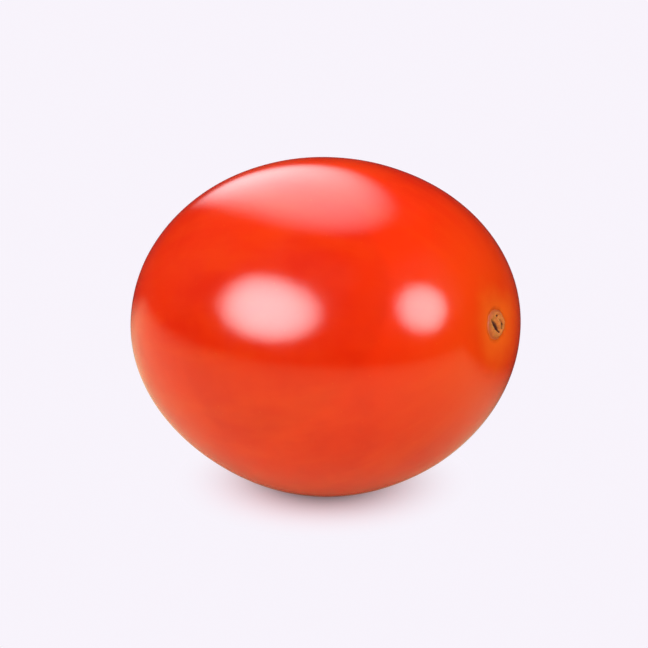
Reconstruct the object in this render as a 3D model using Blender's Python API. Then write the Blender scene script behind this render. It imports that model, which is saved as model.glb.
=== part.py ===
"""A picked plum-shaped cherry tomato, lying on the small flat that its own weight has pressed.

Metres, +Z up. The fruit is one solid. Its stem end points to +X and sits a little higher than
its blossom end. The origin is on the surface that it rests on, below the middle of its outline.
"""

from math import acos, atan2, cos, exp, radians, sin

import bmesh
import bpy
from mathutils import Matrix, Vector

# Driving dimensions
LENGTH = 0.0337
DIAMETER = 0.0283
LEAN = radians(10)  # how far the stem end is lifted
FLAT_DEPTH = 0.00034  # how much the resting fruit is flattened underneath

# The body
BLOSSOM_FULLNESS = 0.02  # the blossom half is this much thicker than the stem half
SHOULDER_FULLNESS = 0.005  # fills the ends out past a plain ellipse
CHAMBERS = 3  # seed chambers, which show as faint ridges along the fruit
CHAMBER_RIDGE = 0.006  # height of a ridge, as a share of the radius
WIDER_THAN_TALL = 0.008
BEND = 0.0003  # how far the middle bows off a straight axis
STEM_RISE = 0.0008  # how far the scar sits above the axis

# A flank that grew against its neighbour, low on one side of the blossom half
FLANK_TOWARDS = Vector((-0.62, -0.56, -0.55)).normalized()
FLANK_DEPTH = 0.045  # as a share of the distance from the middle
FLANK_SPREAD = 0.60  # radians

# The stem scar, in its shallow hollow
HOLLOW_DEPTH = 0.00055
HOLLOW_RADIUS = 0.0030
RING_HEIGHT = 0.00016
RING_RADIUS = 0.00116
RING_WIDTH = 0.00030
PIT_DEPTH = 0.00045
PIT_RADIUS = 0.00050

# The blossom-end mark
MARK_HEIGHT = 0.00022
MARK_RADIUS = 0.00060

# The mesh
MERIDIANS = 64
RINGS = 44
END_CROWDING = 0.75  # 0 spaces the rings evenly, and near 1 crowds them at both ends

SKIN_COLOUR = (0.80, 0.030, 0.004, 1.0)
SKIN_ROUGHNESS = 0.25


def clear_scene():
    for thing in list(bpy.data.objects):
        bpy.data.objects.remove(thing)


def bell(distance, width):
    """1 at no distance, falling off smoothly over about this width."""
    return exp(-((distance / width) ** 2))


def crowded(polar):
    """The polar angle of a ring, moved towards the nearer end of the fruit."""
    return polar - END_CROWDING * sin(2 * polar) / 2


def end_relief(along, radius):
    """How far the skin stands out along the axis, away from the fruit's middle."""
    if along < 0:
        return MARK_HEIGHT * bell(radius, MARK_RADIUS)
    ring = RING_HEIGHT * bell(radius - RING_RADIUS, RING_WIDTH)
    hollow = HOLLOW_DEPTH * bell(radius, HOLLOW_RADIUS)
    pit = PIT_DEPTH * bell(radius, PIT_RADIUS)
    return ring - hollow - pit


def skin_point(polar, around):
    """A point of the skin, from its angle off the stem end and its angle round the axis."""
    along = cos(polar)
    fullness = 1 - BLOSSOM_FULLNESS * along + SHOULDER_FULLNESS * along**2
    ridges = 1 + CHAMBER_RIDGE * sin(polar) * cos(CHAMBERS * around)
    radius = DIAMETER / 2 * sin(polar) * fullness * ridges
    outwards = 1 if along >= 0 else -1
    rise = STEM_RISE * ((1 + along) / 2) ** 4 + BEND * sin(polar) ** 2
    point = Vector(
        (
            LENGTH / 2 * along + outwards * end_relief(along, radius),
            radius * cos(around) * (1 + WIDER_THAN_TALL),
            radius * sin(around) * (1 - WIDER_THAN_TALL) + rise,
        )
    )
    return point * (1 - FLANK_DEPTH * bell(point.angle(FLANK_TOWARDS), FLANK_SPREAD))


def fruit_mesh():
    """A sphere whose rings are moved onto the skin. Its upper pole becomes the stem end."""
    shape = bmesh.new()
    bmesh.ops.create_uvsphere(shape, u_segments=MERIDIANS, v_segments=RINGS, radius=1)
    for vertex in shape.verts:
        x, y, z = vertex.co.normalized()
        vertex.co = skin_point(crowded(acos(max(-1, min(1, z)))), atan2(y, x))
    mesh = bpy.data.meshes.new("tomato")
    shape.to_mesh(mesh)
    shape.free()
    mesh.shade_smooth()
    return mesh


def skin_material():
    material = bpy.data.materials.new("tomato_skin")
    material.use_nodes = True
    shader = material.node_tree.nodes["Principled BSDF"]
    shader.inputs["Base Color"].default_value = SKIN_COLOUR
    shader.inputs["Roughness"].default_value = SKIN_ROUGHNESS
    shader.inputs["Metallic"].default_value = 0.0
    return material


def resting_place(mesh, turn):
    """Where the turned fruit goes: centred, and dipping below the surface by the flat's depth."""
    points = [turn @ vertex.co for vertex in mesh.vertices]
    low = Vector([min(p[k] for p in points) for k in range(3)])
    high = Vector([max(p[k] for p in points) for k in range(3)])
    return Vector((-(low.x + high.x) / 2, -(low.y + high.y) / 2, -low.z - FLAT_DEPTH))


def make_tomato(parts):
    mesh = fruit_mesh()
    mesh.materials.append(skin_material())
    tomato = bpy.data.objects.new("tomato", mesh)
    tomato.rotation_euler = (0, -LEAN, 0)
    tomato.location = resting_place(mesh, Matrix.Rotation(-LEAN, 3, "Y"))
    parts.objects.link(tomato)
    return tomato


def make_surface_cutter(cutters):
    """A block whose top is the surface that the fruit lies on."""
    block = bmesh.new()
    bmesh.ops.create_cube(block, size=2 * LENGTH)
    mesh = bpy.data.meshes.new("surface_cutter")
    block.to_mesh(mesh)
    block.free()
    cutter = bpy.data.objects.new("surface_cutter", mesh)
    cutter.location = (0, 0, -LENGTH)
    cutter.hide_render = True
    cutter.display_type = "WIRE"
    cutters.objects.link(cutter)
    return cutter


def press_flat(tomato, cutter):
    flat = tomato.modifiers.new("resting_flat", "BOOLEAN")
    flat.operation = "DIFFERENCE"
    flat.solver = "EXACT"
    flat.object = cutter


def new_collection(name):
    made = bpy.data.collections.new(name)
    bpy.context.scene.collection.children.link(made)
    return made


clear_scene()
tomato = make_tomato(new_collection("plum_cherry_tomato"))
press_flat(tomato, make_surface_cutter(new_collection("cutters")))
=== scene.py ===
from math import cos, pi, radians, sin, tan

import bmesh
import bpy
import numpy as np
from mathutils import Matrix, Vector, noise


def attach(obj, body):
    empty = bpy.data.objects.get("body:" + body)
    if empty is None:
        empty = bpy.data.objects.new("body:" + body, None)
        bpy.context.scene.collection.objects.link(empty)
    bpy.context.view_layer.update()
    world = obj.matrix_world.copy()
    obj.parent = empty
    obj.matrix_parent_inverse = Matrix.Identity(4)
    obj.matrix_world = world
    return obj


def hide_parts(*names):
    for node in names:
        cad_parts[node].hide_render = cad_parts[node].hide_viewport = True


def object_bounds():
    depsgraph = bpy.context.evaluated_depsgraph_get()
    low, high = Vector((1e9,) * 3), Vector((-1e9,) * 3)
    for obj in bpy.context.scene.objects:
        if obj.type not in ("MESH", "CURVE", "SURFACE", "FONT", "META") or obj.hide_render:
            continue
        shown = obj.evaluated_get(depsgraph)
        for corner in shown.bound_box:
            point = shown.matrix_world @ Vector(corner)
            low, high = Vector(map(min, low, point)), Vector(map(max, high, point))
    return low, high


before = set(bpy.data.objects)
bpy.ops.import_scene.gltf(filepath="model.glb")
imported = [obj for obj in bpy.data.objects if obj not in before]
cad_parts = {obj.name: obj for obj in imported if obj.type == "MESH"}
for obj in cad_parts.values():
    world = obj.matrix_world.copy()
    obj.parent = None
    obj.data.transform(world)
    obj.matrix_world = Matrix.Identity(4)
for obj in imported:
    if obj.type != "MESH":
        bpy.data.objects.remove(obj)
cad_low, cad_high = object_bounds()

MM = 0.001

# ---- The fruit's shape: the same rules and sizes as the CAD solid, on a finer mesh ----

LENGTH = 33.7 * MM
DIAMETER = 28.3 * MM
LEAN = radians(10)
BLOSSOM_FULLNESS = 0.02
SHOULDER_FULLNESS = 0.005
CHAMBERS = 3
CHAMBER_RIDGE = 0.006
WIDER_THAN_TALL = 0.008
BEND = 0.3 * MM
STEM_RISE = 0.8 * MM
FLANK_TOWARDS = np.array((-0.62, -0.56, -0.55))
FLANK_DEPTH = 0.045
FLANK_SPREAD = 0.60

HOLLOW_DEPTH = 0.55 * MM
HOLLOW_RADIUS = 3.0 * MM

# Finer relief, which only this mesh has
SKIN_WAVES = ((4.2 * MM, 0.016 * MM), (1.5 * MM, 0.0022 * MM))  # wavelength, height
WAVES_REACH = (1.5 * MM, 4.0 * MM)  # where the waves set in and are full, off the axis
FLAT_EDGE = 0.16 * MM  # how gently the resting flat runs into the round skin

# The corky stem scar: cork torn open along a slit, with a bud of it left standing beside the slit
CORK_RADIUS = 1.22 * MM
CORK_RIM = (-0.22 * MM, 0.08 * MM)  # the cork drops to the skin between these, off its outline
CORK_HEIGHT = 0.09 * MM
CORK_SWELL = 0.07 * MM
SWELL_PLACE = 0.76  # how far out the cork swells most, as a share of its radius
SWELL_WIDTH = 0.20 * MM
CORK_GRAIN = 0.045 * MM
COARSE_GRAIN = 0.17 * MM
FINE_GRAIN = 0.07 * MM
FINE_GRAIN_SHARE = 0.6
TEARS = (  # from and to: across the scar, up the scar and the tear's width there, in millimetres
    ((-0.72, 0.62, 0.07), (-0.46, 0.24, 0.18)),
    ((-0.46, 0.24, 0.18), (-0.12, -0.22, 0.21)),
    ((-0.12, -0.22, 0.21), (0.16, -0.70, 0.09)),
    ((0.60, 0.10, 0.05), (0.76, -0.26, 0.16)),
    ((0.76, -0.26, 0.16), (0.66, -0.52, 0.05)),
    ((0.02, 0.74, 0.04), (0.34, 0.62, 0.09)),
)
TEAR_DEPTH = 0.28 * MM
RAGGEDNESS = ((0.34 * MM, 0.11 * MM), (0.11 * MM, 0.035 * MM))  # wavelength, sideways shift
BUD_PLACE = (0.34 * MM, -0.04 * MM)
BUD_HEIGHT = 0.10 * MM
BUD_RADIUS = 0.30 * MM
CRACKS = 13
CRACK_DEPTH = 0.05 * MM
CRACK_WIDTH = 0.20  # in radians, with pi from one crack to the next
CRACK_DRIFT = 1.2  # how unevenly the cracks are spaced, in the same radians
CRACKS_START = (0.62 * MM, 0.80 * MM)
CRACKS_END = (1.00 * MM, 1.25 * MM)
MOAT_DEPTH = 0.06 * MM  # the skin dips where it meets the cork
MOAT_WIDTH = 0.16 * MM
MOAT_PLACE = 0.10 * MM  # how far outside the cork's outline it dips most

# The blossom-end mark
MARK_HEIGHT = 0.20 * MM
MARK_RADIUS = 0.60 * MM
DIMPLE_DEPTH = 0.12 * MM
DIMPLE_RADIUS = 0.20 * MM

# The mesh
MERIDIANS = 256
RINGS = 208
SCAR_SHARE = 0.28  # share of the rings that lie on the scar and its hollow
SCAR_POLAR = 0.115  # polar angle out to which those rings reach
CROWDING = 1.75  # how much closer together the rings lie at the blossom end
STREAK_STRETCH = 0.35  # streaks run along the fruit: smaller is longer
OUT_OF_REACH = 1.0  # distance from a mark, in metres, on the half of the fruit that lacks it
PAST_THE_CORK = 9  # the same for the cork, in radii of its outline


def bell(distance, width):
    return np.exp(-((distance / width) ** 2))


def step(value, low, high):
    """0 below low, 1 above high, and smooth between them."""
    t = np.clip((value - low) / (high - low), 0, 1)
    return t * t * (3 - 2 * t)


def ring_polar(share):
    """The polar angle of a ring: close together on the scar and at the blossom end."""
    on_scar = share / SCAR_SHARE * SCAR_POLAR
    rest = np.clip((share - SCAR_SHARE) / (1 - SCAR_SHARE), 0, 1)
    slope = SCAR_POLAR / SCAR_SHARE * (1 - SCAR_SHARE)
    span = pi - SCAR_POLAR
    crowded = (1 + CROWDING) * rest**2 - CROWDING * rest**3
    off_scar = SCAR_POLAR + slope * rest + (span - slope) * crowded
    return np.where(share < SCAR_SHARE, on_scar, off_scar)


def cloud(points, wavelength, seed):
    """Smooth noise between about -1 and 1, at each point."""
    shift = Vector((seed, 2 * seed, 3 * seed))
    return np.array([noise.noise(Vector(p) / wavelength + shift) for p in points])


def cork_edge(around):
    """The uneven outline of the cork, as a share of its radius."""
    lobes = 0.05 * np.cos(2 * around + 0.4) + 0.04 * np.cos(3 * around + 0.7)
    nicks = 0.014 * np.cos(5 * around + 2.1) + 0.012 * np.cos(8 * around + 0.3)
    return 1 + lobes + nicks + 0.010 * np.cos(13 * around + 1.1)


def torn(radius, around):
    """1 in the tears of the scar, and 0 away from them."""
    flat = np.stack((radius * np.cos(around), radius * np.sin(around), 0 * radius), 1)
    here = flat[:, :2] / MM
    for wavelength, shift in RAGGEDNESS:
        here[:, 0] += shift / MM * cloud(flat, wavelength, seed=7.0)
        here[:, 1] += shift / MM * cloud(flat, wavelength, seed=9.0)
    deep = np.zeros_like(radius)
    for start, end in np.array(TEARS):
        run = end[:2] - start[:2]
        share = np.clip((here - start[:2]) @ run / (run @ run), 0, 1)
        off = np.linalg.norm(here - start[:2] - share[:, None] * run, axis=1)
        deep = np.maximum(deep, bell(off, start[2] + share * (end[2] - start[2])))
    return deep


def cork_relief(radius, around, grain, tears):
    """How far the stem scar stands out of its hollow."""
    edge = CORK_RADIUS * cork_edge(around)
    on_cork = 1 - step(radius, edge + CORK_RIM[0], edge + CORK_RIM[1])
    swell = CORK_SWELL * bell(radius - SWELL_PLACE * edge, SWELL_WIDTH)
    across = radius * np.cos(around) - BUD_PLACE[0]
    up = radius * np.sin(around) - BUD_PLACE[1]
    bud = BUD_HEIGHT * bell(np.hypot(across, up), BUD_RADIUS)
    spoke = bell(np.sin(CRACKS * around / 2 + CRACK_DRIFT * np.sin(2 * around)), CRACK_WIDTH)
    on_ring = step(radius, *CRACKS_START) * (1 - step(radius, *CRACKS_END))
    moat = MOAT_DEPTH * bell(radius - edge - MOAT_PLACE, MOAT_WIDTH)
    relief = CORK_HEIGHT * on_cork + swell + bud + CORK_GRAIN * grain * on_cork
    return relief - TEAR_DEPTH * tears - CRACK_DEPTH * spoke * on_ring - moat


def skin_points(polar, around):
    """The fruit along its own axis: +X is the stem end, and +Z the side that is up at rest.

    It comes with each point's distance from the axis, and how far it lies in a tear of the scar.
    """
    along = np.cos(polar)
    fullness = 1 - BLOSSOM_FULLNESS * along + SHOULDER_FULLNESS * along**2
    ridges = 1 + CHAMBER_RIDGE * np.sin(polar) * np.cos(CHAMBERS * around)
    radius = DIAMETER / 2 * np.sin(polar) * fullness * ridges
    flat_points = np.stack((radius * np.cos(around), radius * np.sin(around), along), 1)
    grain = cloud(flat_points, COARSE_GRAIN, seed=3.0)
    grain += FINE_GRAIN_SHARE * cloud(flat_points, FINE_GRAIN, seed=5.0)
    hollow = HOLLOW_DEPTH * bell(radius, HOLLOW_RADIUS)
    tears = torn(radius, around)
    stem = cork_relief(radius, around, grain, tears) - hollow
    dimple = DIMPLE_DEPTH * bell(radius, DIMPLE_RADIUS)
    mark = MARK_HEIGHT * bell(radius, MARK_RADIUS) - dimple
    rise = STEM_RISE * ((1 + along) / 2) ** 4 + BEND * np.sin(polar) ** 2
    points = np.stack(
        (
            LENGTH / 2 * along + np.where(along < 0, -mark, stem),
            radius * np.cos(around) * (1 + WIDER_THAN_TALL),
            radius * np.sin(around) * (1 - WIDER_THAN_TALL) + rise,
        ),
        axis=1,
    )
    length = np.linalg.norm(points, axis=1)
    towards = FLANK_TOWARDS / np.linalg.norm(FLANK_TOWARDS)
    angle = np.arccos(np.clip(points @ towards / length, -1, 1))
    points *= (1 - FLANK_DEPTH * bell(angle, FLANK_SPREAD))[:, None]
    off_scar = step(radius, *WAVES_REACH)
    for wavelength, height in SKIN_WAVES:
        swell = height * cloud(points, wavelength, seed=wavelength / MM) * off_scar
        points *= (1 + swell / length)[:, None]
    return points, radius, tears


def placed(points):
    """The fruit leant, moved into the CAD solid's box and pressed flat where it rests."""
    turned = points.copy()
    turned[:, 0] = points[:, 0] * cos(LEAN) - points[:, 2] * sin(LEAN)
    turned[:, 2] = points[:, 0] * sin(LEAN) + points[:, 2] * cos(LEAN)
    low, high = turned.min(0), turned.max(0)
    box_low, box_high = np.array(cad_low), np.array(cad_high)
    fit = min((box_high - box_low)[:2] / (high - low)[:2])
    turned *= min(fit, 1)
    low, high = turned.min(0), turned.max(0)
    turned[:, :2] += ((box_low + box_high) / 2 - (low + high) / 2)[:2]
    turned[:, 2] += box_high[2] - high[2]
    height = turned[:, 2] - box_low[2]
    near = np.clip(1 - np.abs(height) / FLAT_EDGE, 0, 1)
    rounded = FLAT_EDGE / 4
    pressed = np.maximum(height, 0) + rounded * near**2
    turned[:, 2] = box_low[2] + np.maximum(pressed - rounded * (height < FLAT_EDGE), 0)
    return turned


def grid():
    """The ring and the meridian of each vertex. The first is the stem end, the last the other."""
    ring = np.repeat(np.arange(1, RINGS), MERIDIANS)
    meridian = np.tile(np.arange(MERIDIANS), RINGS - 1)
    return np.concatenate(([0], ring, [RINGS])), np.concatenate(([0], meridian, [0]))


def vertex_number(ring, meridian):
    """Where in that grid a vertex is. All the meridians meet at both ends."""
    if ring == 0:
        return 0
    if ring == RINGS:
        return (RINGS - 1) * MERIDIANS + 1
    return (ring - 1) * MERIDIANS + meridian % MERIDIANS + 1


def grid_faces():
    """Each face's corners, as rings and meridians: triangles at both ends, and quads between."""
    for ring in range(RINGS):
        below = ring + 1
        for meridian in range(MERIDIANS):
            beside = meridian + 1
            if ring == 0:
                yield (ring, meridian + 0.5), (below, meridian), (below, beside)
            elif below == RINGS:
                yield (ring, meridian), (below, meridian + 0.5), (ring, beside)
            else:
                yield (ring, meridian), (below, meridian), (below, beside), (ring, beside)


def new_values(mesh, name, values):
    attribute = mesh.attributes.new(name, "FLOAT", "POINT")
    attribute.data.foreach_set("value", values.astype(np.float32))


def new_places(mesh, name, places):
    attribute = mesh.attributes.new(name, "FLOAT_VECTOR", "POINT")
    attribute.data.foreach_set("vector", places.astype(np.float32).ravel())


def make_fruit():
    """Rings of skin from end to end, a map to bake on, and what the material needs to know."""
    ring, meridian = grid()
    polar = ring_polar(ring / RINGS)
    around = 2 * pi * meridian / MERIDIANS
    points, radius, tears = skin_points(polar, around)
    faces = list(grid_faces())
    mesh = bpy.data.meshes.new("tomato_fruit")
    numbered = [[vertex_number(*corner) for corner in face] for face in faces]
    mesh.from_pydata(placed(points).tolist(), [], numbered)
    flat_map = [(across / MERIDIANS, 1 - down / RINGS) for face in faces for down, across in face]
    mesh.uv_layers.new(name="OFBake").uv.foreach_set("vector", np.array(flat_map).ravel())
    on_stem = polar < pi / 2
    on_blossom = polar > pi / 2
    edge = radius / CORK_RADIUS / cork_edge(around)
    new_values(mesh, "stem_distance", np.where(on_stem, radius, OUT_OF_REACH) / MM)
    new_values(mesh, "blossom_distance", np.where(on_blossom, radius, OUT_OF_REACH) / MM)
    new_values(mesh, "off_the_ends", np.sin(polar))
    new_values(mesh, "stem_tear", np.where(on_stem, tears, 0))
    new_values(mesh, "cork_edge", np.where(on_stem, edge, PAST_THE_CORK))
    streak_place = np.stack((np.cos(around), np.sin(around), STREAK_STRETCH * polar), 1)
    new_places(mesh, "meridian_place", streak_place)
    new_places(mesh, "grain_place", points / MM)
    mesh.shade_smooth()
    mesh.update()
    fruit = bpy.data.objects.new("tomato_fruit", mesh)
    bpy.context.scene.collection.objects.link(fruit)
    return fruit


# ---- Materials ----


class Nodes:
    """A short way to write node trees."""

    def __init__(self, tree):
        self.tree = tree

    def add(self, kind, inputs=None, **settings):
        node = self.tree.nodes.new(kind)
        for name, value in settings.items():
            setattr(node, name, value)
        for name, value in (inputs or {}).items():
            self.put(node.inputs[name], value)
        return node

    def put(self, socket, value):
        if isinstance(value, bpy.types.NodeSocket):
            self.tree.links.new(value, socket)
        else:
            socket.default_value = value

    def math(self, operation, *values):
        node = self.add("ShaderNodeMath", operation=operation)
        for socket, value in zip(node.inputs, values):
            self.put(socket, value)
        return node.outputs[0]

    def mix(self, factor, first, second):
        """The first colour where the factor is 0, and the second where it is 1."""
        node = self.add("ShaderNodeMix", data_type="RGBA")
        self.put(node.inputs["Factor"], factor)
        self.put(node.inputs[6], first)
        self.put(node.inputs[7], second)
        return node.outputs[2]

    def either(self, factor, first, second):
        """The first shader where the factor is 0, and the second where it is 1."""
        node = self.add("ShaderNodeMixShader")
        for socket, value in zip(node.inputs, (factor, first, second)):
            self.put(socket, value)
        return node.outputs[0]

    def smooth(self, value, low, high, to_low=0.0, to_high=1.0):
        """A smooth step, from to_low where the value is low to to_high where it is high."""
        node = self.add("ShaderNodeMapRange", interpolation_type="SMOOTHSTEP")
        for socket, number in zip(node.inputs, (value, low, high, to_low, to_high)):
            self.put(socket, number)
        return node.outputs[0]

    def attribute(self, name, output="Fac"):
        return self.add("ShaderNodeAttribute", attribute_name=name).outputs[output]

    def noise(self, place, scale, detail, roughness=0.5):
        node = self.add(
            "ShaderNodeTexNoise",
            {"Vector": place, "Scale": scale, "Detail": detail, "Roughness": roughness},
        )
        return node.outputs[0]


RIPE_RED = (0.82, 0.027, 0.0009, 1)
DEEP_RED = (0.76, 0.018, 0.0007, 1)
SHOULDER_ORANGE = (0.88, 0.058, 0.0016, 1)
HALO_ORANGE = (0.98, 0.155, 0.009, 1)
SCAR_EDGE = (0.50, 0.070, 0.004, 1)
FLECK = (0.84, 0.085, 0.006, 1)
CORK_TAN = (0.68, 0.148, 0.011, 1)
CORK_PALE = (0.84, 0.26, 0.036, 1)
CORK_GREEN = (0.48, 0.18, 0.012, 1)
CORK_BROWN = (0.10, 0.016, 0.002, 1)

# Distances on the skin are in millimetres, and the noises on it are in waves per millimetre
SHOULDER_REACH = (2.5, 12.0)  # where the shoulder's orange begins to fade, and where it ends
SHOULDER_STRENGTH = 0.90
HALO_REACH = (0.8, 4.2)
HALO_STRENGTH = 0.75
UNEVEN_HALO = 5.0  # how far the mottling moves the outlines of both
STREAK_STRENGTH = 0.35
FLECK_STRENGTH = 0.40
MARK_HALO_REACH = (0.35, 1.3)
MARK_REACH = (0.20, 0.55)
WAXY_ROUGHNESS = (0.115, 0.145)
CORK_ROUGHNESS = 0.65  # on top of the wax's
PEEL_HEIGHT = 0.005
PORE_HEIGHT = 0.0008
CORK_GRAIN_HEIGHT = 0.05
SKIN_IOR = 1.5
FLESH_GLOW = 0.25  # share of the light that comes back out of the flesh
FLESH_GLOW_REACH = 1.6 * MM
FLESH_GLOW_COLOUR = (1.0, 0.22, 0.10)  # how far each colour gets, as a share of that


def skin_colour(n, stem, place):
    """Ripe red, mottled and faintly streaked, going orange on the shoulder round the scar."""
    mottle = n.noise(place, 0.16, 3.0, 0.55)
    colour = n.mix(n.smooth(mottle, 0.30, 0.62), DEEP_RED, RIPE_RED)
    streak = n.noise(n.attribute("meridian_place", "Vector"), 4.5, 3.0, 0.55)
    streaks = n.math(
        "MULTIPLY",
        n.smooth(streak, 0.42, 0.75, 0.0, STREAK_STRENGTH),
        n.smooth(n.attribute("off_the_ends"), 0.15, 0.6),
    )
    colour = n.mix(streaks, colour, SHOULDER_ORANGE)
    ragged = n.math("MULTIPLY_ADD", n.math("SUBTRACT", mottle, 0.5), UNEVEN_HALO, stem)
    shoulder = n.smooth(ragged, *SHOULDER_REACH, SHOULDER_STRENGTH, 0.0)
    colour = n.mix(shoulder, colour, SHOULDER_ORANGE)
    colour = n.mix(n.smooth(ragged, *HALO_REACH, HALO_STRENGTH, 0.0), colour, HALO_ORANGE)
    cells = n.add("ShaderNodeTexVoronoi", {"Vector": place, "Scale": 1.3, "Randomness": 1.0})
    fleck = n.smooth(cells.outputs["Distance"], 0.05, 0.12, FLECK_STRENGTH, 0.0)
    crowded = n.smooth(n.noise(place, 0.7, 1.0), 0.45, 0.62)
    return n.mix(n.math("MULTIPLY", fleck, crowded), colour, FLECK)


def cork_colour(n, edge, place):
    """Tan cork, paler in its grain and greenish in patches, and brown in its tears."""
    grain = n.noise(place, 6.0, 4.0, 0.7)
    uneven = n.math("SUBTRACT", grain, 0.5)
    colour = n.mix(n.smooth(grain, 0.35, 0.65), CORK_TAN, CORK_PALE)
    patch = n.smooth(n.noise(place, 1.3, 2.0), 0.50, 0.64, 0.0, 0.6)
    colour = n.mix(patch, colour, CORK_GREEN)
    frayed = n.math("MULTIPLY_ADD", uneven, 0.5, edge)
    colour = n.mix(n.smooth(frayed, 0.70, 1.05, 0.0, 0.85), colour, SCAR_EDGE)
    tear = n.math("MULTIPLY_ADD", uneven, 0.6, n.attribute("stem_tear"))
    return n.mix(n.smooth(tear, 0.22, 0.62), colour, CORK_BROWN)


def blossom_mark(n, colour, place):
    """The skin with its small ragged brown mark at the blossom end, in a paler halo."""
    uneven = n.math("SUBTRACT", n.noise(place, 4.0, 3.0, 0.6), 0.5)
    ragged = n.math("MULTIPLY_ADD", uneven, 0.9, n.attribute("blossom_distance"))
    colour = n.mix(n.smooth(ragged, *MARK_HALO_REACH, 0.6, 0.0), colour, SHOULDER_ORANGE)
    return n.mix(n.smooth(ragged, *MARK_REACH, 0.85, 0.0), colour, CORK_BROWN)


def skin_bump(n, cork, place):
    """Relief too fine for the mesh: the faintest peel and pores, and the grain of the cork."""
    peel = n.math("MULTIPLY", n.noise(place, 1.7, 3.0, 0.55), PEEL_HEIGHT)
    pores = n.math("MULTIPLY", n.noise(place, 9.0, 2.0), PORE_HEIGHT)
    grain = n.math("MULTIPLY", n.noise(place, 14.0, 3.0, 0.7), CORK_GRAIN_HEIGHT)
    height = n.math("MULTIPLY_ADD", grain, cork, n.math("ADD", peel, pores))
    bump = n.add("ShaderNodeBump", {"Strength": 1.0, "Distance": MM, "Height": height})
    return bump.outputs[0]


def tomato_skin():
    material = bpy.data.materials.new("tomato_skin_fine")
    material.use_nodes = True
    n = Nodes(material.node_tree)
    shader = material.node_tree.nodes["Principled BSDF"]
    place = n.attribute("grain_place", "Vector")
    edge = n.attribute("cork_edge")
    cork = n.smooth(edge, 0.94, 1.10, 1.0, 0.0)
    colour = skin_colour(n, n.attribute("stem_distance"), place)
    colour = n.mix(n.smooth(edge, 1.0, 1.4, 0.45, 0.0), colour, SCAR_EDGE)
    colour = n.mix(cork, colour, cork_colour(n, edge, place))
    n.put(shader.inputs["Base Color"], blossom_mark(n, colour, place))
    waxy = n.smooth(n.noise(place, 0.5, 4.0, 0.6), 0.3, 0.7, *WAXY_ROUGHNESS)
    n.put(shader.inputs["Roughness"], n.math("MULTIPLY_ADD", cork, CORK_ROUGHNESS, waxy))
    n.put(shader.inputs["Normal"], skin_bump(n, cork, place))
    shader.inputs["IOR"].default_value = SKIN_IOR
    shader.inputs["Subsurface Weight"].default_value = FLESH_GLOW
    shader.inputs["Subsurface Radius"].default_value = FLESH_GLOW_COLOUR
    shader.inputs["Subsurface Scale"].default_value = FLESH_GLOW_REACH
    return material


# ---- The studio ----

# The camera. Its lens and sensor are in millimetres.
AZIMUTH = radians(30)
ELEVATION = radians(21)
LENS = 270
SENSOR = 36
FRUIT_SHARE = 0.62  # share of the frame's width that the fruit takes

# What the camera sees of the floor and the backdrop. Distances on the floor are from the origin.
BACKDROP = (0.94, 0.90, 0.97, 1)
# Pink and very bright: painted red bounce light in the fruit's shade close by
FLOOR_COLOUR = (0.98, 0.86, 0.94, 1)
FLOOR_ROUGHNESS = 0.25
FLOOR_IOR = 1.25
FLOOR_RADIUS = 6.0
FLOOR_SEGMENTS = 96
SHADE_REACH = (1.0 * MM, 12.5 * MM)  # where the fruit's shade begins to fade, and where it ends

# What the fruit sees of the floor: painted light, a warm glow close by painted into the floor's
# colour, and painted shade behind the fruit
FRONT_GLOW = (0.77, 0.75, 0.37, 1)
BACK_GLOW = (0.77, 0.68, 0.42, 1)
# painted shade: the floor's colour, as the fruit sees it, where the glow is dim
PAINTED_SHADE = (0.03, 0.03, 0.03, 1)
FRONT_REACH = (-4.0 * MM, 22.0 * MM)  # towards the camera, from the back glow to the front glow
GLOW_REACH = (30.0 * MM, 170.0 * MM)  # where the painted glow begins to dim into painted shade, and where it is dim
DIM_SIDE = radians(150)  # the side where the glow dims close by, a painted shade, counted from the camera's azimuth
DIM_SIDE_REACH = (4.0 * MM, 30.0 * MM)

SOFT_LIGHT = 0.53  # the world's, on the fruit and the floor
DIM_ROOM = 0.02  # the world's, in reflections

LIGHT_DISTANCE = 0.6
GLOWS = (  # azimuth from the camera's, elevation, width and height in degrees, and radiance
    ("key_light", -45, 42, 50, 50, 1.25),
    ("fill_light", 62, 36, 45, 45, 1.7),
    ("side_light", -115, 20, 50, 50, 0.9),
    ("back_light", -170, 55, 55, 50, 0.8),
)
SOFTBOXES = (  # the same
    ("key_softbox", -49, 25, 60, 47, 10.2),
    ("fill_softbox", 46, 26, 42, 42, 7.8),
    ("back_softbox", -165, 46, 74, 98, 3.0),
)
SOFTBOX_FEET = (1, 1, 0.3)  # the width of each one's lower end, as a share of its upper end's
SOFTBOX_COLOUR = (0.90, 0.95, 1.0)


def direction(azimuth, elevation):
    """Towards a place round the fruit. Azimuth 0 is in front, at -Y, and 90 degrees is at +X."""
    return Vector((sin(azimuth) * cos(elevation), -cos(azimuth) * cos(elevation), sin(elevation)))


def centre():
    return (cad_low + cad_high) / 2


def make_camera():
    data = bpy.data.cameras.new("camera")
    data.lens = LENS
    data.sensor_width = SENSOR
    data.dof.use_dof = False
    camera = bpy.data.objects.new("camera", data)
    distance = (cad_high.x - cad_low.x) / FRUIT_SHARE * LENS / SENSOR
    towards = direction(AZIMUTH, ELEVATION)
    camera.location = centre() + towards * distance
    camera.rotation_euler = (-towards).to_track_quat("-Z", "Y").to_euler()
    data.clip_start = 0.001
    data.clip_end = 20
    bpy.context.scene.collection.objects.link(camera)
    bpy.context.scene.camera = camera


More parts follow.
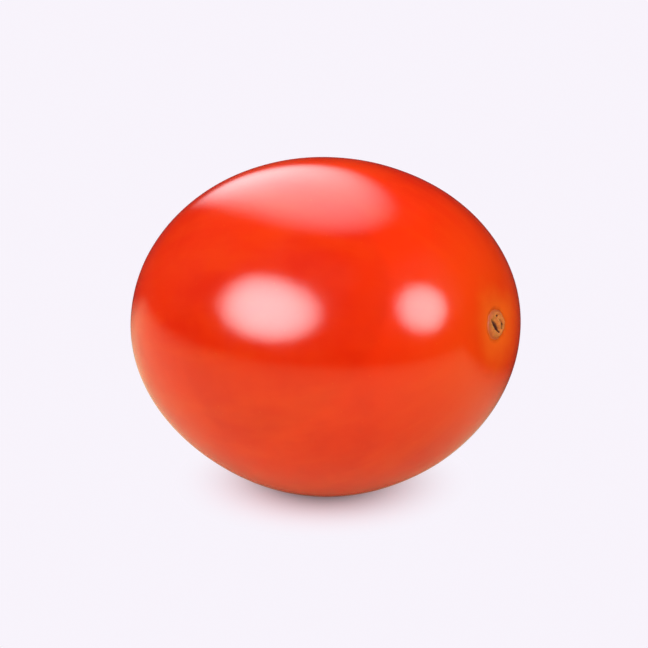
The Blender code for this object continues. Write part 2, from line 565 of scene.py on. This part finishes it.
def new_light(name, azimuth, elevation, wide, high, radiance):
    """A soft light that faces the fruit, with its angular size, in degrees.

    Its azimuth is counted from the camera's.
    """
    data = bpy.data.lights.new(name, "AREA")
    data.shape = "RECTANGLE"
    data.size = 2 * LIGHT_DISTANCE * tan(radians(wide) / 2)
    data.size_y = 2 * LIGHT_DISTANCE * tan(radians(high) / 2)
    data.energy = 4 * radiance * data.size * data.size_y
    light = bpy.data.objects.new(name, data)
    towards = direction(AZIMUTH + radians(azimuth), radians(elevation))
    light.location = centre() + towards * LIGHT_DISTANCE
    light.rotation_euler = (-towards).to_track_quat("-Z", "Y").to_euler()
    light.visible_camera = False
    bpy.context.scene.collection.objects.link(light)
    return light


def fade_out(light, foot):
    """Round the light's outline, and fade it towards its rim."""
    light.data.use_nodes = True
    n = Nodes(light.data.node_tree)
    across = n.add("ShaderNodeVectorMath", operation="SUBTRACT")
    n.put(across.inputs[0], n.add("ShaderNodeNewGeometry").outputs["Parametric"])
    across.inputs[1].default_value = (0.5, 0.5, 0)
    parts = n.add("ShaderNodeSeparateXYZ", {"Vector": across.outputs[0]})
    width = n.math("MULTIPLY_ADD", parts.outputs[1], 1 - foot, (1 + foot) / 2)
    wide = n.math("DIVIDE", n.math("MULTIPLY", parts.outputs[0], 2), width)
    high = n.math("MULTIPLY", parts.outputs[1], 2)
    rim = n.math("ADD", n.math("POWER", wide, 2), n.math("POWER", high, 2))
    n.put(light.data.node_tree.nodes["Emission"].inputs["Strength"], n.smooth(rim, 0, 1, 1, 0))


def make_lights(fruit):
    """Glows light the fruit and the floor, unseen. Softboxes only show as reflections in it."""
    for glow in GLOWS:
        new_light(*glow).visible_glossy = False
    fruit_only = bpy.data.collections.new("fruit_only")
    fruit_only.objects.link(fruit)
    for softbox, foot in zip(SOFTBOXES, SOFTBOX_FEET):
        light = new_light(*softbox)
        light.visible_diffuse = False
        light.data.color = SOFTBOX_COLOUR
        light.light_linking.receiver_collection = fruit_only
        fade_out(light, foot)


def studio_world():
    """The backdrop to the camera, soft light to the fruit, and a dim room in its reflections."""
    world = bpy.data.worlds.new("studio")
    world.use_nodes = True
    bpy.context.scene.world = world
    n = Nodes(world.node_tree)
    background = world.node_tree.nodes["Background"]
    path = n.add("ShaderNodeLightPath")
    soft = n.math("MULTIPLY", path.outputs["Is Diffuse Ray"], SOFT_LIGHT)
    seen = path.outputs["Is Camera Ray"]
    strength = n.math("MAXIMUM", n.math("MAXIMUM", soft, DIM_ROOM), seen)
    n.put(background.inputs["Strength"], strength)
    n.put(background.inputs["Color"], n.mix(seen, (1, 1, 1, 1), BACKDROP))


def heading(n, place, azimuth):
    """How far a place on the floor lies towards an azimuth, which is counted from the camera's."""
    node = n.add("ShaderNodeVectorMath", operation="DOT_PRODUCT")
    n.put(node.inputs[0], place)
    node.inputs[1].default_value = direction(AZIMUTH + azimuth, 0)
    return node.outputs["Value"]


def floor_material():
    """A pale sweep that only shows the fruit's own shade, and glows warmly onto the fruit: painted
    light and shade in the colour that the fruit sees.
    """
    material = bpy.data.materials.new("white_sweep")
    material.use_nodes = True
    n = Nodes(material.node_tree)
    paint = material.node_tree.nodes["Principled BSDF"]
    paint.inputs["Base Color"].default_value = FLOOR_COLOUR
    paint.inputs["Roughness"].default_value = FLOOR_ROUGHNESS
    paint.inputs["IOR"].default_value = FLOOR_IOR
    place = n.add("ShaderNodeTexCoord").outputs["Object"]
    away = n.add("ShaderNodeVectorMath", operation="LENGTH")
    n.put(away.inputs[0], place)
    distance = away.outputs["Value"]
    pale = n.add("ShaderNodeEmission", {"Color": BACKDROP})
    to_camera = n.either(n.smooth(distance, *SHADE_REACH), paint.outputs[0], pale.outputs[0])
    front = n.smooth(heading(n, place, 0), *FRONT_REACH)
    dim = n.smooth(heading(n, place, DIM_SIDE), *DIM_SIDE_REACH)
    far = n.smooth(distance, *GLOW_REACH)
    # Painted light and shade: a warm glow close by, dimmed far off and on the dim side
    glow = n.mix(n.math("MAXIMUM", far, dim), n.mix(front, BACK_GLOW, FRONT_GLOW), PAINTED_SHADE)
    to_fruit = n.add("ShaderNodeBsdfDiffuse", {"Color": glow}).outputs[0]
    seen = n.add("ShaderNodeLightPath").outputs["Is Camera Ray"]
    surface = material.node_tree.nodes["Material Output"].inputs["Surface"]
    n.put(surface, n.either(seen, to_fruit, to_camera))
    return material


def make_floor():
    shape = bmesh.new()
    bmesh.ops.create_circle(shape, cap_ends=True, radius=FLOOR_RADIUS, segments=FLOOR_SEGMENTS)
    mesh = bpy.data.meshes.new("floor")
    shape.to_mesh(mesh)
    shape.free()
    mesh.materials.append(floor_material())
    floor = bpy.data.objects.new("floor", mesh)
    floor.location.z = cad_low.z
    bpy.context.scene.collection.objects.link(floor)


fruit = make_fruit()
fruit.data.materials.append(tomato_skin())
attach(fruit, "root")
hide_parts("tomato")

make_camera()
make_lights(fruit)
studio_world()
make_floor()
bpy.context.scene.view_settings.view_transform = "Standard"
